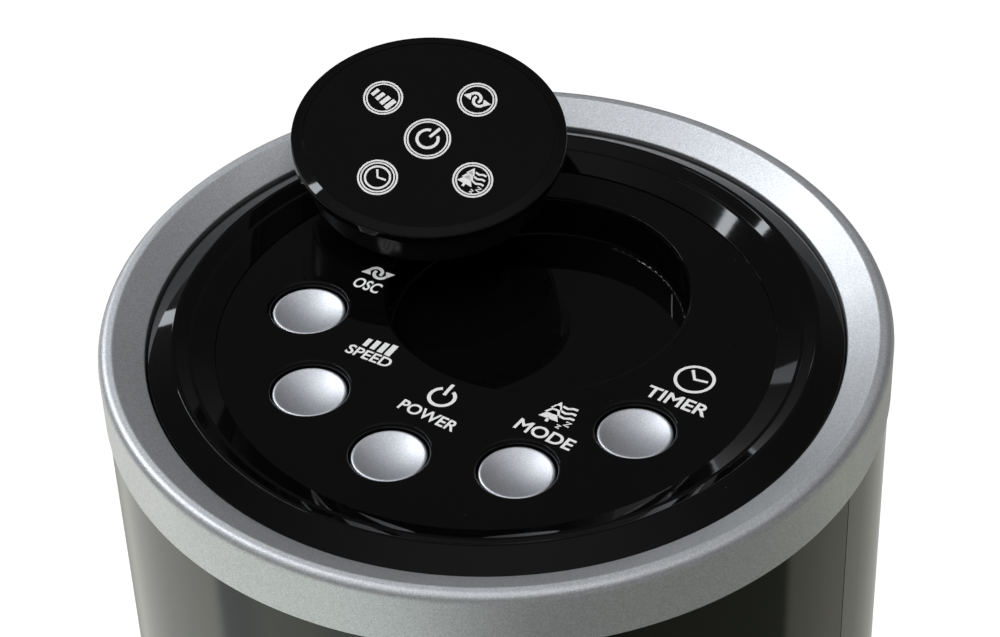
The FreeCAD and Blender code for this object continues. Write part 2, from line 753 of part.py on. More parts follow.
def make_motor():
    """The drive motor under the impeller: stack, windings, two end caps, bushes, rotor and shaft."""
    ax = (0, impeller_y)
    stack = tube(motor_radius, rotor_radius + rotor_gap, stack_bottom, stack_top, *ax)
    slot = block(rotor_radius + 4, motor_radius - 6, -3.0, 3.0, stack_bottom - 1, stack_top + 1)
    slots = [moved(s, 0, impeller_y, 0) for s in around(slot, 8)]
    save("motor_stator", stack.cut(Part.makeCompound(slots)))
    coils = []
    ends = ((stack_bottom - winding_overhang, stack_bottom), (stack_top, stack_top + winding_overhang))
    for low, high in ends:
        ring = lathe([(rotor_radius + 3, low, 2.0), (motor_radius - 6, low, 2.0),
                      (motor_radius - 6, high, 0.8), (rotor_radius + 3, high, 0.8)])
        coils.append(moved(ring, 0, impeller_y, 0))
    for s in slots:
        coils.append(s.common(tube(motor_radius - 6.5, rotor_radius + 4.5, stack_bottom, stack_top, *ax)))
    save("motor_windings", joined(coils[0], *coils[1:]))
    save_motor_cap("motor_cap_lower", stack_bottom, -1)
    save_motor_cap("motor_cap_upper", stack_top, 1)
    inner = shaft_radius + bush_gap
    lows = (motor_bottom, motor_top - bush_length, upper_bracket_z)
    save("shaft_bushes", *[tube(bush_radius, inner, low, low + bush_length, *ax) for low in lows])
    save("motor_rotor", tube(rotor_radius, shaft_radius + 0.02, stack_bottom - 1, stack_top + 1, *ax))
    save("motor_shaft", cylinder(shaft_radius, motor_bottom - 4.0, impeller_bottom + 8.0, *ax))
    rubbers = []
    bolts = []
    for x, y in mount_places(mount_circle):
        rubbers.append(tube(mount_radius, 2.2, motor_top, motor_top + mount_height, x, y))
        bolt = screw(4.0, 2.0, mount_height + bracket_thickness + 6.0)
        bolts.append(moved(bolt, x, y, lower_bracket_z + bracket_thickness))
    save("motor_mounts", *rubbers)
    save("motor_bolts", *bolts)


def save_motor_cap(name, face, side):
    """An end cap: a shallow can on one face of the stack, with the bush seat and, on top, three ears."""
    low, high = sorted((face, face + side * (cap_height + 1.0)))
    inside = motor_radius - 3.0
    can = cylinder(motor_radius, low, high, 0, impeller_y)
    hollow_low, hollow_high = (low - 1, high - 2.5) if side > 0 else (low + 2.5, high + 1)
    can = can.cut(cylinder(inside, hollow_low, hollow_high, 0, impeller_y))
    seat_low, seat_high = (high - bush_length, high) if side > 0 else (low, low + bush_length)
    can = can.fuse(cylinder(bush_radius + 2.5, seat_low, seat_high, 0, impeller_y))
    if side > 0:
        for x, y in mount_places(mount_circle):
            ear = cylinder(mount_radius, high - 3.0, high, x, y)
            web = cylinder(mount_radius, high - 3.0, high, x * 0.8, impeller_y + (y - impeller_y) * 0.8)
            can = can.fuse([ear, web]).cut(cylinder(2.0 + touch, high - 4, high + 1, x, y))
    for angle in range(6):
        middle = Vector(motor_radius - 6.0, impeller_y, (low + high) / 2)
        vent = Part.makeCylinder(3.5, 12.0, middle, Vector(1, 0, 0))
        can = can.cut(turned(vent, 30 + 60 * angle, axis_point))
    can = can.cut(cylinder(bush_radius + touch / 2, low - 1, high + 1, 0, impeller_y))
    save(name, can.removeSplitter())


def guide(start_angle, end_angle, start_gap, end_point, lip):
    """An air guide: a wall that follows a spiral about the impeller, then runs out to the window."""
    count = 6
    inner = []
    outer = []
    for k in range(count + 1):
        share = k / count
        angle = math.radians(start_angle + (end_angle - start_angle) * share)
        radius = impeller_radius + start_gap + (lip - start_gap) * share
        for points, extra in ((inner, 0.0), (outer, guide_wall)):
            points.append(Vector((radius + extra) * math.cos(angle),
                                 impeller_y + (radius + extra) * math.sin(angle), 0))
    side = 1 if end_point[0] > 0 else -1
    inner_end = Vector(end_point[0], end_point[1], 0)
    outer_end = Vector(end_point[0] + side * guide_wall, end_point[1], 0)
    curves = []
    for points in (inner, outer):
        curve = Part.BSplineCurve()
        curve.interpolate(points)
        curves.append(curve.toShape())
    edges = [curves[0], Part.LineSegment(inner[-1], inner_end).toShape(),
             Part.LineSegment(inner_end, outer_end).toShape(), Part.LineSegment(outer_end, outer[-1]).toShape(),
             curves[1], Part.LineSegment(outer[0], inner[0]).toShape()]
    face = Part.Face(Part.Wire(Part.__sortEdges__(edges)))
    return face.extrude(Vector(0, 0, 1))


def make_air_guides():
    """The scroll on the left and the tongue on the right lead the air from the wheel to the window."""
    low = lower_bracket_z + bracket_thickness
    height = upper_bracket_z - low
    reach = shell_inner - rib_depth - 3.8
    angle = math.radians(window_half_angle - 1.0)
    x_end = reach * math.sin(angle)
    y_end = -reach * math.cos(angle)
    for name, start, end, gap, side, lip in (("scroll_guide", 128.0, 200.0, guide_gap, -1, 21.0),
                                             ("tongue_guide", -14.0, -28.0, guide_gap, 1, 11.0)):
        wall = guide(start, end, gap, (side * x_end, y_end), lip)
        tall = wall.transformGeometry(FreeCAD.Matrix(1, 0, 0, 0, 0, 1, 0, 0, 0, 0, height, low, 0, 0, 0, 1))
        save(name, tall)


# ---- Top of the column -----------------------------------------------------------------------

def make_silver_ring():
    """The painted ring: outer band, rounded crest, slope down to the black rim, skirt in the shells."""
    low = column_top - ring_band
    skirt = shell_inner - touch
    outline = [
        (ring_radius, low, 0.3), (ring_radius, column_top, 1.9), (ring_crest - 1.6, column_top, 1.2),
        (ring_inner, column_top - ring_inner_drop, 0.5), (ring_inner, column_top - ring_inner_drop - 6.0, 0),
        (ring_inner + 1.8, column_top - ring_inner_drop - 6.0, 0),
        (ring_inner + 1.8, column_top - ring_inner_drop - 1.6, 0.5), (ring_crest - 2.2, column_top - 2.4, 0.8),
        (skirt - 1.8, low + 4.0, 0), (skirt - 1.8, low - ring_skirt, 0), (skirt, low - ring_skirt, 0),
        (skirt, low, 0)]
    save("silver_ring", lathe(outline))


def cover_corner_z():
    return column_top - ring_inner_drop - 6.0


def make_top_cover():
    """The glossy black rim: it rises inwards to a crest, steps down to the panel and carries it."""
    outer = ring_inner - rim_gap
    foot = column_top - rim_foot_drop
    crest = column_top - rim_crest_drop
    step = column_top - rim_step_drop
    lip = panel_z + rim_lip
    under = cover_corner_z() - touch
    ledge_z = panel_z - panel_thickness
    flange = ring_inner + 5.0
    edge = panel_radius + touch
    outline = [
        (outer, foot, 0.5), (rim_crest_radius, crest, 1.1), (rim_step_radius, step, 0.3),
        (rim_step_radius - rim_step_width, step, 0.3), (edge, lip, 0.15), (edge, ledge_z, 0),
        (panel_radius - ledge_width, ledge_z, 0), (panel_radius - ledge_width, ledge_z - rim_wall, 0),
        (edge + rim_wall, ledge_z - rim_wall, 0.8), (rim_step_radius + 1.0, step - rim_wall, 0.8),
        (rim_crest_radius, crest - rim_wall, 0.8), (outer - rim_wall, foot - rim_wall * 0.7, 0.8),
        (outer - rim_wall, under - rim_wall, 0), (flange, under - rim_wall, 0), (flange, under, 0),
        (outer, under, 0.4)]
    save("top_cover", lathe(outline))


def button_angles():
    middle = (len(button_names) - 1) / 2
    return [-90 + (i - middle) * button_spacing for i in range(len(button_names))]


def button_centres():
    return [(button_circle * math.cos(math.radians(a)), button_circle * math.sin(math.radians(a)))
            for a in button_angles()]


def post_places():
    angles = [math.radians(a) for a in (-90 - 2.5 * button_spacing, -90 - 0.5 * button_spacing,
                                        -90 + 0.5 * button_spacing, -90 + 2.5 * button_spacing)]
    return [(post_circle * math.cos(a), post_circle * math.sin(a)) for a in angles]


def make_control_panel():
    """The flat panel with the round well for the remote control and five button holes."""
    under = panel_z - panel_thickness
    disc = cylinder(panel_radius, under, panel_z)
    cup = cylinder(well_radius + well_wall, well_floor_z - well_wall, under, 0, well_back)
    cup = cup.common(cylinder(panel_radius - ledge_width - 0.4, 0, column_top))
    collars = [cylinder(collar_radius, panel_z - button_guide, under, x, y) for x, y in button_centres()]
    posts = [cylinder(post_radius, board_z + board_thickness, under, x, y) for x, y in post_places()]
    body = joined(disc, cup, *collars, *posts)
    well = lathe([(0, well_floor_z, 0), (well_radius - 0.3, well_floor_z, 1.0), (well_radius, panel_z + 5, 0),
                  (0, panel_z + 5, 0)])
    body = body.cut(moved(well, 0, well_back, 0))
    body = body.cut(moved(edge_rounding(well_radius, 0.6), 0, well_back, panel_z))
    for x, y in button_centres():
        body = body.cut(cylinder(button_bore, panel_z - button_guide - 1, panel_z + 1, x, y))
        body = body.cut(moved(edge_rounding(button_bore, bore_rounding), x, y, panel_z))
    for x, y in post_places():
        body = body.cut(cylinder(screw_shank, board_z, board_z + screw_length + 0.3, x, y))
    save("control_panel", body)


def edge_rounding(radius, size):
    """The ring to cut from a hole's mouth at z 0 so that its edge has that rounding."""
    corner = Part.makePolygon([Vector(radius - 1, 0, -size), Vector(radius, 0, -size)])
    arc = Part.Arc(Vector(radius, 0, -size), Vector(radius + size * (1 - math.cos(math.pi / 4)), 0,
                   -size * (1 - math.sin(math.pi / 4))), Vector(radius + size, 0, 0)).toShape()
    top = Part.makePolygon([Vector(radius + size, 0, 0), Vector(radius + size, 0, 1),
                            Vector(radius - 1, 0, 1), Vector(radius - 1, 0, -size)])
    wire = Part.Wire(corner.Edges + [arc] + top.Edges)
    return Part.Face(wire).revolve(ORIGIN, UP, 360)


def make_buttons():
    """Five dished caps, each with a cross stem down to a switch plunger on the board."""
    top = panel_z - button_sunk
    low = top - button_height
    switch_top = board_z + board_thickness + switch_height
    stem_low = switch_top + plunger_height
    sphere_radius = (button_radius ** 2 + button_dish ** 2) / (2 * button_dish)
    for name, angle in zip(button_names, button_angles()):
        cap = lathe([(0, low, 0), (button_radius, low, 0), (button_radius, top, 0.5), (0, top, 0)])
        dish = Part.makeSphere(sphere_radius, Vector(0, 0, top + sphere_radius - button_dish * 0.82))
        cap = cap.cut(dish)
        arms = [block(-button_radius * 0.6, button_radius * 0.6, -stem_side / 2, stem_side / 2, stem_low, low)]
        arms.append(turned(arms[0], 90))
        button = joined(cap, *arms)
        x = button_circle * math.cos(math.radians(angle))
        y = button_circle * math.sin(math.radians(angle))
        save("button_" + name, moved(turned(button, angle + 90), x, y, 0))
        plunger = cylinder(plunger_radius, switch_top - 0.6, stem_low, x, y)
        save("plunger_" + name, plunger)


def make_board():
    """The control board on four posts under the panel, with five switches and an infrared receiver."""
    low = board_z
    high = board_z + board_thickness
    board = cylinder(board_radius, low, high)
    board = board.cut(cylinder(well_radius - 12.0, low - 1, high + 1, 0, well_back + 2.0))
    for x, y in post_places():
        board = board.cut(cylinder(screw_shank + 0.2, low - 1, high + 1, x, y))
    save("control_board", board)
    switches = []
    for (x, y), angle in zip(button_centres(), button_angles()):
        half = switch_side / 2
        case = block(-half, half, -half, half, high, high + switch_height)
        case = case.cut(cylinder(plunger_radius + 0.15, high + 1.2, high + switch_height + 1))
        switches.append(moved(turned(case, angle + 90), x, y, 0))
    save("tact_switches", *switches)
    save("board_parts", block(-9, 9, -52, -46, high, high + 3.0), block(-7, 7, -27, -19, high, high + 2.4),
         block(-42.0, -24.0, -12.0, 12.0, low - 15.0, low), block(26.0, 38.0, -16.0, 16.0, low - 11.0, low))


# ---- Remote control --------------------------------------------------------------------------

def remote_place(shape):
    """Moves a piece from the remote's own frame, face centre at the origin, to where it lies."""
    lean = math.radians(remote_lean_angle)
    axis = Vector(-math.sin(lean), math.cos(lean), 0)
    copy = shape.copy()
    copy.rotate(ORIGIN, axis, remote_tilt)
    copy.translate(Vector(remote_x, remote_y, column_top + remote_face_rise))
    return copy


def tray_box(extra=0.0, cut=False):
    """The battery tray's slot near the underside, open at the edge, before it is turned."""
    low = -remote_depth + remote_wall
    reach = remote_radius + 5 if cut else remote_foot - 0.2
    return block(remote_body - tray_length - extra, reach, -tray_width / 2 - extra, tray_width / 2 + extra,
                 low - extra, low + tray_height + extra)


def make_remote():
    """The round remote control: bevelled top shell, printed film, lower shell, board, cell in its tray."""
    split = -remote_flange
    under = -remote_depth
    film_radius = remote_radius - film_margin
    top = lathe([(0, split, 0), (remote_radius, split, 0.5), (remote_radius, -remote_bevel, 0.6),
                 (film_radius + 0.3, 0, 0.2), (0, 0, 0)])
    top = top.cut(cylinder(film_radius + touch, -film_sunk - film_thickness, 1))
    top = top.cut(cylinder(remote_body - remote_wall - 2.0, split - 1, -film_sunk - film_thickness - 1.2))
    film = cylinder(film_radius, -film_sunk - film_thickness, -film_sunk)
    lower = lathe([
        (0, under - remote_pad, 0), (remote_pad_radius, under - remote_pad, 1.0),
        (remote_pad_radius + 1.5, under, 0.4), (remote_foot, under, 1.6), (remote_body, split - touch, 0),
        (remote_body - remote_wall, split - touch, 0), (remote_foot - remote_wall, under + remote_wall, 1.0),
        (0, under + remote_wall, 0)])
    lower = lower.cut(turned(tray_box(0.25, True), tray_turn))
    board_top = split - 1.2
    board = cylinder(remote_body - remote_wall - 0.8, board_top - 1.2, board_top)
    led_turn = Vector(math.cos(math.radians(remote_up_angle)), math.sin(math.radians(remote_up_angle)), 0)
    led_start = led_turn * (remote_body - 6.0) + Vector(0, 0, board_top - 4.2)
    led = Part.makeCylinder(2.5, 9.0, led_start, led_turn).common(cylinder(remote_foot + 0.2, under, 0))
    lower = lower.cut(Part.makeCylinder(2.7, 12.0, led_start, led_turn))
    tray_low = under + remote_wall
    tray = tray_box().common(lathe([(0, under, 0), (remote_foot - 0.1, under, 0),
                                    (remote_body - 0.3, split, 0), (0, split, 0)]))
    cell_x = remote_body - tray_length + cell_radius + 1.2
    tray = tray.cut(cylinder(cell_radius + 0.15, tray_low + 0.2, tray_low + 9, cell_x, 0))
    tray = tray.cut(block(remote_foot - 1.0, remote_radius, -4, 4, tray_low - 1, tray_low + 1.2))
    cell = cylinder(cell_radius, tray_low + 0.25, tray_low + 0.25 + cell_height, cell_x, 0)
    dome = lathe([(0, board_top, 0), (3.0, board_top, 0), (2.4, board_top + 0.7, 0), (0, board_top + 1.0, 0)])
    places = [(sx * key_spacing_x / 2, sy * key_spacing_y / 2 - key_drop) for sx in (-1, 1) for sy in (-1, 1)]
    domes = [turned(moved(dome, x, y), remote_up_angle - 90) for x, y in places + [(0.0, -key_drop)]]
    for name, solids in (("remote_top_shell", [top]), ("remote_film", [film]), ("remote_led", [led]),
                         ("remote_lower_shell", [lower]), ("remote_board", [board]), ("remote_domes", domes),
                         ("battery_tray", [turned(tray, tray_turn)]), ("coin_cell", [turned(cell, tray_turn)])):
        save(name, *[remote_place(solid) for solid in solids])


def main():
    os.makedirs("parts", exist_ok=True)
    for make in (make_base_feet, make_base_plate, make_base_cover, make_cord_gland, make_base_screws,
                 make_swivel_stem, make_swing_gears, make_thrust_ring, make_column_floor, make_swing_motor,
                 make_front_shell, make_rear_shell, make_column_screws, make_outlet_grille, make_impeller,
                 make_upper_bracket, make_lower_bracket, make_motor, make_air_guides, make_silver_ring,
                 make_top_cover, make_control_panel, make_buttons, make_board, make_remote):
        make()


main()
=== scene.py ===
import math

import bmesh
import bpy
import numpy as np
from mathutils import Matrix, Vector


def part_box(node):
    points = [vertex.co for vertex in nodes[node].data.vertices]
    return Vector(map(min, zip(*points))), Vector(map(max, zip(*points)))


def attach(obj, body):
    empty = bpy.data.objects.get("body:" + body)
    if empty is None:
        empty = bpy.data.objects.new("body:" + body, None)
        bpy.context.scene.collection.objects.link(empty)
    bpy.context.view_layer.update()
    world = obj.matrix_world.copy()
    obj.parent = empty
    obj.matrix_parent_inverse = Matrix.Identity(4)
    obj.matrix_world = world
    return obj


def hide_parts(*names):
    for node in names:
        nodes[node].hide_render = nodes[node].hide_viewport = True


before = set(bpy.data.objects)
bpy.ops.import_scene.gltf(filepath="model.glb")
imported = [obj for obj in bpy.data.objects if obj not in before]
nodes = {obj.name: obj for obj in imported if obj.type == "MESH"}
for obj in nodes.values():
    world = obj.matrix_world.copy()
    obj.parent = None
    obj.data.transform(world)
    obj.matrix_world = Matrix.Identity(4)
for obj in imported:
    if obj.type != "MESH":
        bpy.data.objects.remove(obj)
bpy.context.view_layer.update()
mm = 0.001

# ---- Studio -------------------------------------------------------------------------------------
# A pale floor and a long lens that looks down on the top of the column from its front right. A bright line
# of a window stands on the left, with a broad soft glow that reaches only the silver pieces, and soft light
# comes from above. The room above the floor is dim.
column_top = 0.8
view_turn = math.radians(32.8)
view_height = math.radians(39.58)
view_pan = math.radians(-0.099)
view_tilt = math.radians(-0.044)
view_roll = math.radians(2.34)
view_reach = 0.6279
lens_mm = 105.62


def direction(turn, height):
    """Unit vector at azimuth turn (0 is the front, -Y, growing towards +X) and elevation height."""
    return Vector((math.sin(turn) * math.cos(height), -math.cos(turn) * math.cos(height), math.sin(height)))


back = direction(view_turn, view_height)
across = Vector((math.cos(view_turn), math.sin(view_turn), 0.0))
above = across.cross(-back)
aim = Matrix.Rotation(view_pan, 3, above) @ Matrix.Rotation(view_tilt, 3, across)
ahead = aim @ -back
lean = Matrix.Rotation(view_roll, 3, ahead)
camera = bpy.data.objects.new("view_camera", bpy.data.cameras.new("view_camera"))
axes = Matrix((lean @ aim @ across, lean @ aim @ above, -ahead)).transposed().to_4x4()
camera.matrix_world = Matrix.Translation(Vector((0, 0, column_top)) + back * view_reach) @ axes
camera.data.lens = lens_mm
camera.data.sensor_width = 36.0
camera.data.clip_start = 0.01
camera.data.clip_end = 60.0
bpy.context.scene.collection.objects.link(camera)
bpy.context.scene.camera = camera
bpy.context.scene.view_settings.view_transform = "Standard"


def node(tree, kind, inputs=None, **settings):
    """Adds one shader node, sets its settings, and sets or links each named input."""
    made = tree.nodes.new("ShaderNode" + kind)
    for name, value in settings.items():
        setattr(made, name, value)
    for name, value in (inputs or {}).items():
        socket = made.inputs[name]
        if isinstance(value, bpy.types.NodeSocket):
            tree.links.new(value, socket)
        else:
            socket.default_value = value
    return made


# How bright the surroundings are below the horizon, by azimuth in degrees: a white floor, and dark
# furniture on the right. Gloss shows this; the floor itself is seen by the camera only.
floor_glow = (
    (-180, (0.50, 0.50, 0.46)), (-150, (0.50, 0.51, 0.47)), (-128, (0.46, 0.47, 0.43)),
    (-116, (0.90, 0.91, 0.85)), (-90, (1.00, 1.01, 0.94)), (-64, (1.32, 1.34, 1.21)),
    (-60, (0.64, 0.70, 0.68)), (-52, (0.66, 0.71, 0.68)),
    (-42, (0.90, 0.96, 0.85)), (-27, (0.98, 1.02, 0.88)), (-18, (0.80, 0.90, 0.84)), (6, (0.80, 0.86, 0.80)),
    (24, (0.06, 0.06, 0.05)), (48, (0.05, 0.05, 0.04)), (78, (0.12, 0.13, 0.10)), (124, (0.11, 0.12, 0.095)),
    (127, (0.42, 0.43, 0.34)), (160, (0.44, 0.44, 0.38)), (180, (0.50, 0.50, 0.46)))
glow_top = 1.4
world = bpy.data.worlds.new("studio")
world.use_nodes = True
sky = world.node_tree
way = node(sky, "SeparateXYZ", {"Vector": node(sky, "TexCoord").outputs["Generated"]})
minus_y = node(sky, "Math", {0: way.outputs["Y"], 1: -1.0}, operation="MULTIPLY")
turn = node(sky, "Math", {0: way.outputs["X"], 1: minus_y.outputs[0]}, operation="ARCTAN2")
share = node(sky, "MapRange", {"Value": turn.outputs[0], "From Min": -math.pi, "From Max": math.pi})
floor_ramp = node(sky, "ValToRGB", {"Fac": share.outputs["Result"]})
while len(floor_ramp.color_ramp.elements) < len(floor_glow):
    floor_ramp.color_ramp.elements.new(0.5)
for element, (azimuth, colour) in zip(floor_ramp.color_ramp.elements, floor_glow):
    element.position = azimuth / 360.0 + 0.5
    element.color = (*[c / glow_top for c in colour], 1.0)
# The room above the horizon, by the sine of the elevation: a dim far wall, dark, then a dim ceiling.
room_glow = ((0.0, 0.34), (0.10, 0.14), (0.24, 0.09), (0.45, 0.05), (0.70, 0.06), (0.86, 0.10), (0.95, 0.17),
             (1.0, 0.20))
room_ramp = node(sky, "ValToRGB", {"Fac": way.outputs["Z"]})
while len(room_ramp.color_ramp.elements) < len(room_glow):
    room_ramp.color_ramp.elements.new(0.5)
for element, (rise, glow) in zip(room_ramp.color_ramp.elements, room_glow):
    element.position = rise
    element.color = (glow / glow_top, glow / glow_top, glow * 1.03 / glow_top, 1.0)
horizon = node(sky, "MapRange", {"Value": way.outputs["Z"], "From Min": -0.22, "From Max": 0.0},
               interpolation_type="SMOOTHSTEP")
room = node(sky, "Mix", {"Factor": horizon.outputs["Result"], "A": floor_ramp.outputs["Color"],
                         "B": room_ramp.outputs["Color"]}, data_type="RGBA")
sky.links.new(room.outputs["Result"], sky.nodes["Background"].inputs["Color"])
sky.nodes["Background"].inputs["Strength"].default_value = glow_top
bpy.context.scene.world = world

floor_reach = 8.0
floor_mesh = bpy.data.meshes.new("floor")
corners = np.array([(-1, -1, 0), (1, -1, 0), (1, 1, 0), (-1, 1, 0)]) * floor_reach
floor_mesh.from_pydata(corners.tolist(), [], [(0, 1, 2, 3)])
floor_paint = bpy.data.materials.new("pale_floor")
floor_paint.use_nodes = True
floor_shader = floor_paint.node_tree.nodes["Principled BSDF"]
floor_shader.inputs["Base Color"].default_value = (0.9, 0.9, 0.9, 1.0)
floor_shader.inputs["Roughness"].default_value = 0.9
floor_shader.inputs["Emission Color"].default_value = (1.0, 1.0, 1.0, 1.0)
floor_shader.inputs["Emission Strength"].default_value = 0.72
floor_mesh.materials.append(floor_paint)
floor = bpy.data.objects.new("floor", floor_mesh)
floor.visible_glossy = False
floor.visible_shadow = False
bpy.context.scene.collection.objects.link(floor)


painted = bpy.data.collections.new("silver_painted")
moulded = bpy.data.collections.new("black_moulding")


def soft_light(name, azimuth, elevation, reach, width, tall, glow, colour=(1.0, 1.0, 1.0), glossy=True,
               only=None):
    """A rectangular light at that azimuth and elevation (degrees) from the top of the column, facing it.
    Its power is glow, the brightness of its face, times its area times pi. only is the group it lights."""
    lamp = bpy.data.lights.new(name, "AREA")
    lamp.shape = "RECTANGLE"
    lamp.size = width
    lamp.size_y = tall
    lamp.energy = glow * math.pi * width * tall
    lamp.color = colour
    holder = bpy.data.objects.new(name, lamp)
    away = direction(math.radians(azimuth), math.radians(elevation))
    holder.location = Vector((0, 0, column_top)) + away * reach
    holder.rotation_euler = away.to_track_quat("Z", "Y").to_euler()
    holder.visible_glossy = glossy
    if only is not None:
        holder.light_linking.receiver_collection = only
    bpy.context.scene.collection.objects.link(holder)


soft_light("window_line", -99.5, 45.0, 2.4, 0.055, 1.45, 9.0, (0.90, 0.95, 1.0))
soft_light("window_glow", -107.0, 44.0, 2.4, 1.0, 1.2, 5.0, (0.92, 0.96, 1.0), only=painted)
soft_light("window_edge", -112.0, 15.0, 2.4, 0.10, 0.35, 4.0, (0.88, 0.94, 1.0), only=moulded)
soft_light("window_far", -127.0, 20.0, 2.4, 0.12, 0.35, 0.8, (0.88, 0.94, 1.0))
soft_light("ceiling_fill", 0.0, 74.0, 2.0, 1.8, 1.8, 3.4, glossy=False)
soft_light("front_fill", -20.0, 30.0, 2.4, 1.4, 1.4, 1.0, glossy=False)
soft_light("ceiling_soft", -20.0, 82.0, 1.6, 1.9, 1.9, 0.7, (0.96, 0.97, 1.0), only=painted)


# ---- Base: feet, floor plate, cover, cord gland and screws ---------------------------------------
# The base is a round injection-moulded ABS cover screwed down over a ribbed ABS plate. Five rubber
# feet are pressed into the plate from below, and a rubber gland holds the place where the cord enters.

def finish(name, dark, light, patch, rough, grain, height, metallic=0.0, speck=0.0, stretch=(1.0, 1.0, 1.0)):
    """A procedural finish. Slow noise of size patch takes the colour from dark to light and the
    roughness between its two values. Fine noise of size grain, stretched along each axis as given,
    lifts bumps of that height. Where speck is over 0, small round motes of that brightness lie on it."""
    material = bpy.data.materials.new(name)
    material.use_nodes = True
    tree = material.node_tree
    shader = tree.nodes["Principled BSDF"]
    place = node(tree, "TexCoord").outputs["Object"]
    slow = node(tree, "TexNoise", {"Vector": place, "Scale": 1.0 / patch, "Detail": 4.0}).outputs["Fac"]
    colour = node(tree, "Mix", {"Factor": slow, "A": (*dark, 1.0), "B": (*light, 1.0)},
                  data_type="RGBA").outputs["Result"]
    if speck > 0.0:
        cell = node(tree, "TexVoronoi", {"Vector": place, "Scale": 1.0 / (7.0 * mm)})
        mote = node(tree, "MapRange", {"Value": cell.outputs["Distance"], "From Min": 0.011, "From Max": 0.017,
                                       "To Min": 1.0, "To Max": 0.0})
        mote_colour = (speck, speck, speck, 1.0)
        colour = node(tree, "Mix", {"Factor": mote.outputs["Result"], "A": colour, "B": mote_colour},
                      data_type="RGBA").outputs["Result"]
    tree.links.new(colour, shader.inputs["Base Color"])
    worn = node(tree, "MapRange", {"Value": slow, "From Min": 0.3, "From Max": 0.7, "To Min": rough[0],
                                   "To Max": rough[1]})
    tree.links.new(worn.outputs["Result"], shader.inputs["Roughness"])
    along = node(tree, "Mapping", {"Vector": place, "Scale": stretch})
    fine = node(tree, "TexNoise", {"Vector": along.outputs["Vector"], "Scale": 1.0 / grain, "Detail": 2.0})
    bump = node(tree, "Bump", {"Height": fine.outputs["Fac"], "Distance": height})
    tree.links.new(bump.outputs["Normal"], shader.inputs["Normal"])
    shader.inputs["Metallic"].default_value = metallic
    return material


def wear(material, *names):
    """Gives the named nodes of the frame that material."""
    for name in names:
        mesh = nodes[name].data
        mesh.materials.clear()
        mesh.materials.append(material)


gloss_black = finish("gloss_black", (0.0014, 0.0014, 0.0014), (0.0026, 0.0026, 0.0026), 30 * mm, (0.02, 0.05),
                     1.4 * mm, 0.8e-6, speck=0.05)
body_black = finish("body_black", (0.0022, 0.0023, 0.0020), (0.0034, 0.0036, 0.0030), 60 * mm, (0.04, 0.08),
                    1.6 * mm, 1.2e-6, speck=0.02)
dark_inner = finish("dark_inner", (0.022, 0.022, 0.024), (0.036, 0.036, 0.038), 12 * mm, (0.45, 0.60),
                    0.5 * mm, 8e-6)
rubber = finish("rubber", (0.010, 0.010, 0.010), (0.020, 0.020, 0.020), 4 * mm, (0.65, 0.85), 0.4 * mm,
                1.2e-5)
zinc_steel = finish("zinc_steel", (0.50, 0.50, 0.47), (0.66, 0.66, 0.63), 3 * mm, (0.28, 0.42), 0.3 * mm,
                    6e-6,
                    metallic=1.0)
wear(rubber, "base_feet", "cord_gland")
wear(dark_inner, "base_plate")
wear(body_black, "base_cover")
wear(zinc_steel, "base_screws")

# ---- Swivel bearing and swing drive -----------------------------------------------------------------
# An acetal stem is screwed to the plate and carries the column on a thrust ring; a zinc washer and a
# spring clip keep it down. A small motor in the column turns a pinion round the fixed acetal gear.
acetal = finish("natural_acetal", (0.72, 0.71, 0.66), (0.80, 0.79, 0.75), 8 * mm, (0.32, 0.45), 0.7 * mm,
                5e-6)
spring_steel = finish("spring_steel", (0.30, 0.30, 0.31), (0.42, 0.42, 0.43), 3 * mm, (0.22, 0.36),
                      0.3 * mm, 5e-6,
                      metallic=1.0, stretch=(1.0, 1.0, 8.0))
wear(acetal, "swivel_stem", "swing_gear", "thrust_ring", "swing_pinion")
wear(zinc_steel, "swivel_washer", "swing_motor")
wear(spring_steel, "swivel_clip", "swing_shaft")

# ---- Column shells -------------------------------------------------------------------------------
# Two half shells of high-gloss black ABS meet at the sides and are held by hidden screws. The front
# one has the tall outlet window, the rear one the inlet slots; both stand on the ribbed column floor.
wear(body_black, "front_shell", "rear_shell")
wear(dark_inner, "column_floor", "upper_bracket")
wear(zinc_steel, "column_screws")

# ---- Outlet grille ---------------------------------------------------------------------------------
# One satin black moulding of fine level bars over upright ribs, clipped behind the front window.
satin_black = finish("satin_black", (0.008, 0.008, 0.0085), (0.014, 0.014, 0.0145), 20 * mm, (0.22, 0.34),
                     0.5 * mm, 3e-6)
wear(satin_black, "outlet_grille")

# ---- Fan motor -------------------------------------------------------------------------------------
# A shaded-pole style motor: stacked steel laminations with enamelled copper windings between two
# pressed zinc caps, sintered bronze bushes, rubber mounts and long bolts, under the impeller.
laminations = finish("laminations", (0.16, 0.16, 0.17), (0.28, 0.28, 0.29), 5 * mm, (0.40, 0.55), 0.5 * mm,
                     3e-5,
                     metallic=0.9, stretch=(0.02, 0.02, 1.0))
windings = finish("windings", (0.33, 0.10, 0.03), (0.56, 0.22, 0.08), 2 * mm, (0.22, 0.38), 0.5 * mm, 8e-5,
                  metallic=0.8, stretch=(1.0, 1.0, 0.1))
bronze = finish("sintered_bronze", (0.34, 0.22, 0.09), (0.46, 0.32, 0.14), 1 * mm, (0.45, 0.60), 0.2 * mm,
                8e-6,
                metallic=1.0)
aluminium = finish("cast_aluminium", (0.48, 0.48, 0.49), (0.60, 0.60, 0.61), 4 * mm, (0.35, 0.50),
                   0.4 * mm, 1e-5,
                   metallic=1.0)
wear(laminations, "motor_stator")
wear(windings, "motor_windings")
wear(zinc_steel, "motor_cap_lower", "motor_cap_upper", "motor_bolts")
wear(bronze, "shaft_bushes")
wear(aluminium, "motor_rotor")
wear(rubber, "motor_mounts", "bearing_cushion")
wear(spring_steel, "motor_shaft")
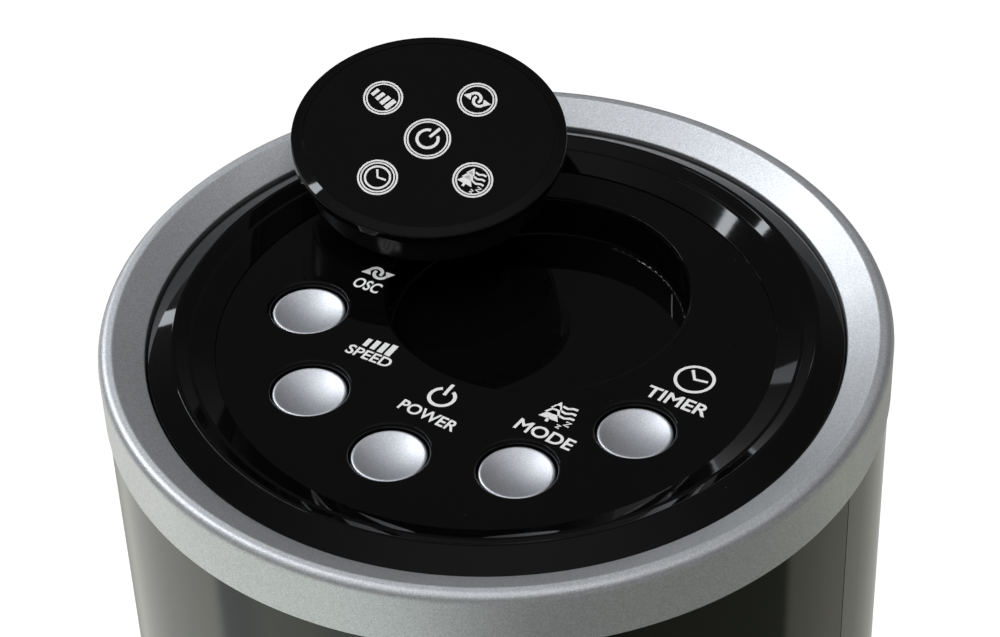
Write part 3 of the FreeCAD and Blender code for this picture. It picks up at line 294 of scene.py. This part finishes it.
wear(dark_inner, "lower_bracket", "run_capacitor")

# ---- Impeller and air guides ---------------------------------------------------------------------
# The cross-flow impeller is a stack of bladed polypropylene rings on a rubber hub, pinned to the
# motor shaft; two bent guides of black ABS lead the air past it to the window.
impeller_black = finish("impeller_black", (0.014, 0.014, 0.015), (0.024, 0.024, 0.026), 10 * mm, (0.30, 0.45),
                        0.5 * mm, 6e-6)
wear(impeller_black, "impeller")
wear(rubber, "impeller_hub")
wear(spring_steel, "impeller_pin")
wear(dark_inner, "scroll_guide", "tongue_guide")

# ---- Silver ring -----------------------------------------------------------------------------------
# A moulded ABS band that caps the two shells and holds them together, sprayed with a fine silver
# metallic paint whose flakes glitter. It clips over the shells and carries the black top moulding.
ring_outline = (
    (85.0, -13.85, 0.3), (85.0, 0.0, 1.9), (81.8, 0.0, 1.2), (75.2, -3.6, 0.5), (75.2, -9.6, 0.0),
    (77.0, -9.6, 0.0), (77.0, -5.2, 0.5), (81.2, -2.4, 0.8), (80.35, -9.85, 0.0), (80.35, -22.85, 0.0),
    (82.15, -22.85, 0.0), (82.15, -13.85, 0.0))
ring_turns = 288


def rounded(outline, steps=9):
    """The corners (r, z, rounding) of a section, joined. At a corner the arc that touches both sides has its
    centre at corner + (u + v) / |u + v| * rounding / sin(half angle), u and v being the ways to its
    neighbours.
    One more point a tenth of the rounding past each end of the arc keeps the flats flat in shading."""
    corners = np.array([corner[:2] for corner in outline], float)
    pieces = []
    for k, corner in enumerate(outline):
        here, size = corners[k], corner[2]
        if size == 0.0:
            pieces.append(here[None])
            continue
        u = corners[k - 1] - here
        v = corners[(k + 1) % len(corners)] - here
        u, v = u / np.linalg.norm(u), v / np.linalg.norm(v)
        half = math.acos(np.clip(u @ v, -1.0, 1.0)) / 2.0
        middle = here + (u + v) / np.linalg.norm(u + v) * size / math.sin(half)
        start, end = here + u * size / math.tan(half), here + v * size / math.tan(half)
        sweep = math.pi - 2.0 * half
        t = np.linspace(0.0, 1.0, steps)[:, None]
        from_start, from_end = np.sin((1 - t) * sweep), np.sin(t * sweep)
        arc = middle + (from_start * (start - middle) + from_end * (end - middle)) / math.sin(sweep)
        pieces.append(np.vstack([start + u * size * 0.1, arc, end + v * size * 0.1]))
    return np.vstack(pieces)


def lathe(section, turns, centre=(0.0, 0.0)):
    """Grid of points: row k, column j is (r cos t, r sin t, z) for point k (r, z) of the section and
    t = 2 pi j / turns, moved to the centre."""
    t = np.arange(turns) * 2.0 * math.pi / turns
    r, z = section[:, :1], section[:, 1:]
    return np.stack([centre[0] + r * np.cos(t), centre[1] + r * np.sin(t), z + 0.0 * t], axis=-1)


def skin(grid, loop):
    """Vertices and faces of a grid whose rows are closed rings. loop joins the last row to the first;
    otherwise each end row is closed by one face, or is a single point where its ring has no size."""
    rows, columns = grid.shape[:2]
    last = rows if loop else rows - 1
    i, j = np.meshgrid(np.arange(last), np.arange(columns), indexing="ij")
    i2, j2 = (i + 1) % rows, (j + 1) % columns
    quads = np.stack([i * columns + j, i * columns + j2, i2 * columns + j2, i2 * columns + j], axis=-1)
    faces = quads.reshape(-1, 4).tolist()
    points = grid.reshape(-1, 3).copy()
    if not loop:
        ends = (np.arange(columns), (rows - 1) * columns + np.arange(columns))
        faces += [end.tolist() for end in ends if np.ptp(points[end], axis=0).max() > 1e-9]
    return points, faces


def piece(name, parts, material, body, replaced=(), crease=30.0):
    """One object made of closed skins in millimetres. Each skin is turned to face outwards by the sign of its
    volume, poles are merged, and edges sharper than crease degrees stay sharp."""
    points, faces, count = [], [], 0
    for vertices, polygons in parts:
        volume = 0.0
        for size in {len(p) for p in polygons}:
            corner = vertices[np.array([p for p in polygons if len(p) == size])]
            for k in range(1, size - 1):
                volume += np.einsum("ij,ij->", corner[:, 0], np.cross(corner[:, k], corner[:, k + 1]))
        polygons = polygons if volume > 0 else [p[::-1] for p in polygons]
        points.append(vertices)
        faces += [[count + k for k in p] for p in polygons]
        count += len(vertices)
    mesh = bpy.data.meshes.new(name)
    mesh.from_pydata((np.vstack(points) * mm).tolist(), [], faces)
    work = bmesh.new()
    work.from_mesh(mesh)
    bmesh.ops.remove_doubles(work, verts=work.verts, dist=1e-8)
    work.to_mesh(mesh)
    work.free()
    mesh.polygons.foreach_set("use_smooth", np.ones(len(mesh.polygons), bool))
    mesh.set_sharp_from_angle(angle=math.radians(crease))
    mesh.materials.append(material)
    made = bpy.data.objects.new(name, mesh)
    bpy.context.scene.collection.objects.link(made)
    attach(made, body)
    if replaced:
        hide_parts(*replaced)
    return made


def flake_paint(name, dark, light, rough, metallic, flake, tilt):
    """Metallic paint: each Voronoi cell of size flake is one flake with its own brightness between dark and
    light, and its own lean, up to tilt, added to the surface's normal by a bump of its random height."""
    material = finish(name, dark, light, 20 * mm, rough, 0.9 * mm, 1.2e-6, metallic=metallic)
    tree = material.node_tree
    shader = tree.nodes["Principled BSDF"]
    place = node(tree, "TexCoord").outputs["Object"]
    cell = node(tree, "TexVoronoi", {"Vector": place, "Scale": 1.0 / flake})
    shade = node(tree, "SeparateColor", {"Color": cell.outputs["Color"]})
    glint = node(tree, "Mix", {"Factor": shade.outputs["Red"], "A": (*dark, 1.0), "B": (*light, 1.0)},
                 data_type="RGBA")
    tree.links.new(glint.outputs["Result"], shader.inputs["Base Color"])
    slope = node(tree, "TexNoise", {"Vector": place, "Scale": 1.0 / (flake * 1.3), "Detail": 1.0})
    old = shader.inputs["Normal"].links[0].from_socket
    bump = node(tree, "Bump", {"Height": slope.outputs["Fac"], "Distance": tilt, "Normal": old})
    tree.links.new(bump.outputs["Normal"], shader.inputs["Normal"])
    return material


def dropped(outline):
    """Section points as radius and height, from radius and drop below the column's top."""
    section = rounded(outline)
    section[:, 1] += column_top / mm
    return section


silver_paint = flake_paint("silver_paint", (0.42, 0.43, 0.44), (0.66, 0.67, 0.69), (0.42, 0.48), 0.80,
                           0.16 * mm, 1.1e-5)
ring_band = piece("ring_band", [skin(lathe(dropped(ring_outline), ring_turns), True)], silver_paint,
                  "column", ["silver_ring"])
painted.objects.link(ring_band)

# ---- Top moulding ----------------------------------------------------------------------------------
# A high-gloss black ABS ring with a rounded crest and two steps down to the panel, pressed inside the
# silver band. Its sunk lip carries the control panel.
cover_outline = (
    (74.85, -4.2, 0.5), (68.9, -1.15, 1.1), (65.9, -2.8, 0.3), (65.2, -2.8, 0.3), (60.35, -5.2, 0.15),
    (60.35, -8.06, 0.0), (57.3, -8.06, 0.0), (57.3, -10.26, 0.0), (62.55, -10.26, 0.8), (66.9, -5.0, 0.8),
    (68.9, -3.35, 0.8), (72.65, -5.74, 0.8), (72.65, -11.85, 0.0), (80.2, -11.85, 0.0), (80.2, -9.65, 0.0),
    (74.85, -9.65, 0.4))
top_moulding = piece("top_moulding", [skin(lathe(dropped(cover_outline), ring_turns), True)], gloss_black,
                     "column", ["top_cover"])
moulded.objects.link(top_moulding)

# ---- Control panel and its printing ----------------------------------------------------------------
# One gloss black moulding with five round button holes and a round well that stores the remote control.
# Words and signs are pad printed on it in white ink, each beside its button.
panel_top = 794.54
ink_height = 0.05
wear(gloss_black, "control_panel")
white_ink = finish("white_ink", (0.86, 0.86, 0.86), (0.93, 0.93, 0.93), 1.5 * mm, (0.30, 0.45), 0.2 * mm,
                   2e-6)


def stroke(path, width):
    """A flat bar of ink along a path: each point p has two edge points p +/- n * width / 2, n being the
    path's normal there, at the bottom and at the top of the ink. The width may change along the path."""
    path = np.array(path, float)
    width = np.broadcast_to(np.asarray(width, float), len(path))[:, None] / 2.0
    run = np.gradient(path, axis=0)
    run /= np.linalg.norm(run, axis=1)[:, None]
    side = np.stack([-run[:, 1], run[:, 0]], axis=1) * np.maximum(width, 1e-3)
    left, right = path + side, path - side
    low, high = np.zeros((len(path), 1)), np.full((len(path), 1), ink_height)
    rows = [np.hstack([left, low]), np.hstack([right, low]), np.hstack([right, high]), np.hstack([left, high])]
    return skin(np.stack(rows, axis=1), False)


def arc(centre, radius, start, end, steps=25):
    """Points centre + radius (cos t, sin t), t from start to end in degrees."""
    t = np.radians(np.linspace(start, end, steps))
    return np.stack([centre[0] + radius * np.cos(t), centre[1] + radius * np.sin(t)], axis=1)


def round_line(centre, radius, width):
    """A full ring of ink: a closed rectangle section carried round the circle."""
    edge = np.array([(radius - width / 2, 0.0), (radius + width / 2, 0.0), (radius + width / 2, ink_height),
                     (radius - width / 2, ink_height)])
    return skin(lathe(edge, 72, centre), True)


def sign_swing():
    """Two hooked arrows, one turned half round from the other."""
    half = []
    for turned in (1.0, -1.0):
        hook = arc((0.75, -0.1), 1.45, 168, -20) * turned
        half += [stroke(arc((-0.75, 0.1), 1.6, 158, -30) * turned, 0.8),
                 stroke(np.array([(-1.9, 0.15), (-3.9, -0.55)]) * turned, (2.3, 0.0))]
    return half


def sign_speed():
    """Four leaning bars that grow."""
    bars = []
    for k in range(4):
        x, tall = -2.95 + 1.97 * k, 2.6 + 0.38 * k
        bars.append(stroke([(x, -1.6 - 0.12 * k), (x + 0.05, -1.6 - 0.12 * k + tall)], 1.12 + 0.1 * k))
    return bars


def sign_power():
    """A ring open at the top with an upright bar in the gap."""
    return [stroke(arc((0.0, 0.0), 2.75, 118, 422, 49), 0.82), stroke([(0.0, 0.75), (0.0, 4.5)], 0.82)]


def sign_mode():
    """A fir tree, three lines of wind and two small letters z."""
    tree = [stroke([(-1.5, 3.6), (-1.5, 1.2)], (0.1, 2.7)), stroke([(-1.5, 2.3), (-1.5, -0.5)], (0.6, 3.7)),
            stroke([(-1.5, 0.7), (-1.5, -2.2)], (1.0, 4.7)), stroke([(-1.5, -2.0), (-1.5, -3.2)], 0.75)]
    wind = [stroke([(x, y), (x + 1.2, y - 0.25), (x + 2.4, y + 0.35), (x + 3.4, y + 0.3)], 0.62)
            for x, y in ((-0.6, 2.6), (-0.2, 1.1), (0.2, -0.4))]
    letters = [stroke([(x - s, y + s), (x + s, y + s), (x - s, y - s), (x + s, y - s)], w)
               for x, y, s, w in ((3.0, -1.9, 0.62, 0.42), (1.6, -3.4, 0.45, 0.34))]
    return tree + wind + letters


def sign_timer():
    """A clock: a ring with two hands."""
    return [round_line((0.0, 0.0), 4.1, 0.72), stroke([(-1.7, 2.5), (0.0, 0.0), (2.9, 0.5)], 0.7)]


def laid(parts, x, y, z, scale=1.0, turn=0.0):
    """The same skins scaled and turned in their plane, then moved to (x, y, z)."""
    c, s = math.cos(math.radians(turn)) * scale, math.sin(math.radians(turn)) * scale
    spin = np.array([(c, -s, 0.0), (s, c, 0.0), (0.0, 0.0, 1.0)])
    return [(points @ spin.T + (x, y, z), faces) for points, faces in parts]


def word(text, start, end, tall):
    """A printed word as a skin: plain sans letters whose outline is filled and given the ink's height, then
    stretched so that it runs from start to end and its capitals are tall."""
    curve = bpy.data.curves.new("word", "FONT")
    curve.body = text
    curve.size = 1.0
    curve.extrude = 0.01
    curve.offset = 0.02
    curve.resolution_u = 6
    holder = bpy.data.objects.new("word", curve)
    bpy.context.scene.collection.objects.link(holder)
    bpy.context.view_layer.update()
    mesh = bpy.data.meshes.new_from_object(holder)
    points = np.zeros(len(mesh.vertices) * 3)
    mesh.vertices.foreach_get("co", points)
    points = points.reshape(-1, 3)
    faces = [list(p.vertices) for p in mesh.polygons]
    bpy.data.objects.remove(holder)
    low, high = points.min(0), points.max(0)
    unit = (points - low) / (high - low)
    start, end = np.array(start), np.array(end)
    run = end - start
    lift = np.array([-run[1], run[0]]) / np.linalg.norm(run) * tall
    flat = start + unit[:, :1] * run + unit[:, 1:2] * lift
    return np.hstack([flat, unit[:, 2:] * ink_height + panel_top]), faces


printing = [word("OSC", (-36.9, -0.75), (-30.4, -0.55), 3.4),
            word("SPEED", (-25.7, -20.35), (-14.7, -20.35), 3.0),
            word("POWER", (-6.1, -30.05), (8.2, -31.0), 3.2),
            word("MODE", (18.4, -23.5), (32.2, -24.2), 3.5),
            word("TIMER", (36.9, -1.3), (51.5, -1.5), 3.6)]
for sign, x, y, scale, turn in ((sign_swing(), -33.9, 5.75, 0.98, 12), (sign_speed(), -20.0, -15.0, 1.0, 0),
                                (sign_power(), 0.55, -22.6, 1.0, 0), (sign_mode(), 24.9, -15.3, 1.0, 0),
                                (sign_timer(), 44.1, 8.25, 1.0, 0)):
    printing += laid(sign, x, y, panel_top, scale, turn)
piece("panel_printing", printing, white_ink, "column")

# ---- Push buttons ----------------------------------------------------------------------------------
# Five round caps moulded in ABS, sprayed satin silver, each with a shallow dish for the finger and a
# cross stem under it that presses its switch. They sit a little below the panel in rounded holes.
button_circle = 42.4
button_spacing = 37.1
button_radius = 8.0
button_top = panel_top - 1.1
button_low = button_top - 4.2
dish_depth = 1.07
dish_reach = 7.35
stem_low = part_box("button_power")[0].z / mm
satin_silver = flake_paint("satin_silver", (0.54, 0.55, 0.58), (0.74, 0.75, 0.78), (0.42, 0.48), 0.94,
                           0.13 * mm, 0.7e-5)


def button_cap(centre):
    """Section of the cap: up the side, over a small rounding, then the dish, whose height is
    z = top - depth (1 - (r / reach)^2). The inner end of the rounding gives way to the dish."""
    rim = rounded([(0.0, button_low, 0.0), (button_radius, button_low, 0.0),
                   (button_radius, button_top, 0.45), (dish_reach, button_top, 0.25),
                   (0.0, button_top - 2.0 * dish_depth, 0.0)])[:-6]
    r = np.linspace(dish_reach - 0.35, 0.0, 16)
    dish = np.stack([r, button_top - dish_depth * (1.0 - (r / dish_reach) ** 2)], axis=1)
    return skin(lathe(np.vstack([rim, dish]), 96, centre), False)


def stem_arm(centre, turn):
    """One bar of the cross stem, a box whose long side lies at that angle."""
    long, thick = button_radius * 0.6, 1.1
    c, s = math.cos(turn), math.sin(turn)
    flat = np.array([(-long, -thick), (long, -thick), (long, thick), (-long, thick)])
    flat = flat @ np.array([(c, s), (-s, c)]) + centre
    rows = [np.hstack([flat, np.full((4, 1), z)]) for z in (stem_low, button_low + 0.4)]
    return skin(np.stack(rows), False)


for step, name in enumerate(("osc", "speed", "power", "mode", "timer"), -2):
    angle = math.radians(-90.0 + button_spacing * step)
    middle = np.array([button_circle * math.cos(angle), button_circle * math.sin(angle)])
    parts = [button_cap(middle), stem_arm(middle, angle), stem_arm(middle, angle + math.pi / 2)]
    cap = piece("cap_" + name, parts, satin_silver, "key_" + name, ["button_" + name])
    painted.objects.link(cap)

# ---- Control board ---------------------------------------------------------------------------------
# A green glass-epoxy board on four posts under the panel, with its parts and five tact switches
# whose plungers stand under the button stems.
board_green = finish("board_green", (0.008, 0.075, 0.028), (0.014, 0.11, 0.04), 3 * mm, (0.22, 0.34),
                     0.8 * mm, 1e-5)
component = finish("component", (0.02, 0.02, 0.022), (0.05, 0.05, 0.055), 4 * mm, (0.35, 0.55), 0.4 * mm,
                   8e-6)
wear(board_green, "control_board")
wear(component, "board_parts", "tact_switches", "plunger_osc", "plunger_speed", "plunger_power", "plunger_mode",
     "plunger_timer")

# ---- Remote control --------------------------------------------------------------------------------
# A round remote: a gloss black top shell with a bevelled edge, a printed film let into it, and a lower
# shell that goes into the well. It holds a small board with snap domes, an infrared diode and a coin cell.
remote_radius = 31.0
remote_film_radius = 28.3
remote_lean = math.radians(-50.6)
remote_tilt = math.radians(10.4)
remote_low_edge = 807.983
remote_turns = 192
remote_at = np.array([-37.65, 34.23, remote_low_edge + remote_radius * math.sin(remote_tilt)])
tilt_axis = Vector((-math.sin(remote_lean), math.cos(remote_lean), 0.0))
remote_spin = np.array(Matrix.Rotation(remote_tilt, 3, tilt_axis))


def on_remote(parts):
    """Skins from the remote's own frame, face centre at the origin: turned about the tilt axis and moved."""
    return [(points @ remote_spin.T + remote_at, faces) for points, faces in parts]


shell_outline = ((0.0, -3.0, 0.0), (remote_radius, -3.0, 0.5), (remote_radius, -0.6, 0.4), (28.6, 0.0, 0.2),
                 (remote_film_radius + 0.05, 0.0, 0.0), (remote_film_radius + 0.05, -0.5, 0.0),
                 (0.0, -0.5, 0.0))
film_outline = ((0.0, -0.55, 0.0), (remote_film_radius, -0.55, 0.0), (remote_film_radius, -0.05, 0.1),
                (0.0, -0.05, 0.0))
film_black = finish("film_black", (0.0010, 0.0010, 0.0011), (0.0018, 0.0018, 0.0019), 25 * mm, (0.05, 0.09),
                    1.2 * mm, 0.6e-6, speck=0.03)
for name, outline, material, slot, replaced in (
        ("remote_cover", shell_outline, gloss_black, "gloss_black", "remote_top_shell"),
        ("remote_face", film_outline, film_black, "film", "remote_film")):
    turned = skin(lathe(rounded(outline), remote_turns), False)
    piece(name, on_remote([turned]), material, "remote_control", [replaced])
# The signs are a sixth taller than wide, measured along the remote's own upward direction.
up_turn = math.radians(122.8)
up = np.array([math.cos(up_turn), math.sin(up_turn), 0.0])
sign_stretch = 0.17
taller = np.eye(3) + sign_stretch * np.outer(up, up)
keys = []
small_ring, power_ring = 4.65, 5.4
remote_signs = ((sign_speed(), -14.6, 3.9, small_ring, 0.80, -15),
                (sign_swing(), 4.0, 14.3, small_ring, 0.86, 0),
                (sign_power(), 0.8, -1.8, power_ring, 0.86, -15),
                (sign_timer(), -2.5, -17.4, small_ring, 0.68, 0),
                (sign_mode(), 16.0, -7.3, small_ring, 0.78, 0))
for sign, x, y, ring, scale, turn in remote_signs:
    drawn = laid(sign, 0.0, 0.0, 0.0, scale, turn)
    drawn += [round_line((0.0, 0.0), ring - 0.32, 0.42), round_line((0.0, 0.0), ring - 0.95, 0.36)]
    keys += [(points @ taller + (x, y, -0.05), faces) for points, faces in drawn]
piece("remote_printing", on_remote(keys), white_ink, "remote_control")
lens_dark = finish("lens_dark", (0.02, 0.003, 0.008), (0.035, 0.005, 0.012), 4 * mm, (0.05, 0.10),
                   0.8 * mm, 1e-6)
cell_steel = finish("cell_steel", (0.55, 0.55, 0.54), (0.66, 0.66, 0.65), 4 * mm, (0.20, 0.30), 0.3 * mm,
                    3e-6,
                    metallic=1.0)
wear(satin_black, "remote_lower_shell")
wear(dark_inner, "battery_tray")
wear(board_green, "remote_board")
wear(spring_steel, "remote_domes")
wear(lens_dark, "remote_led")
wear(cell_steel, "coin_cell")
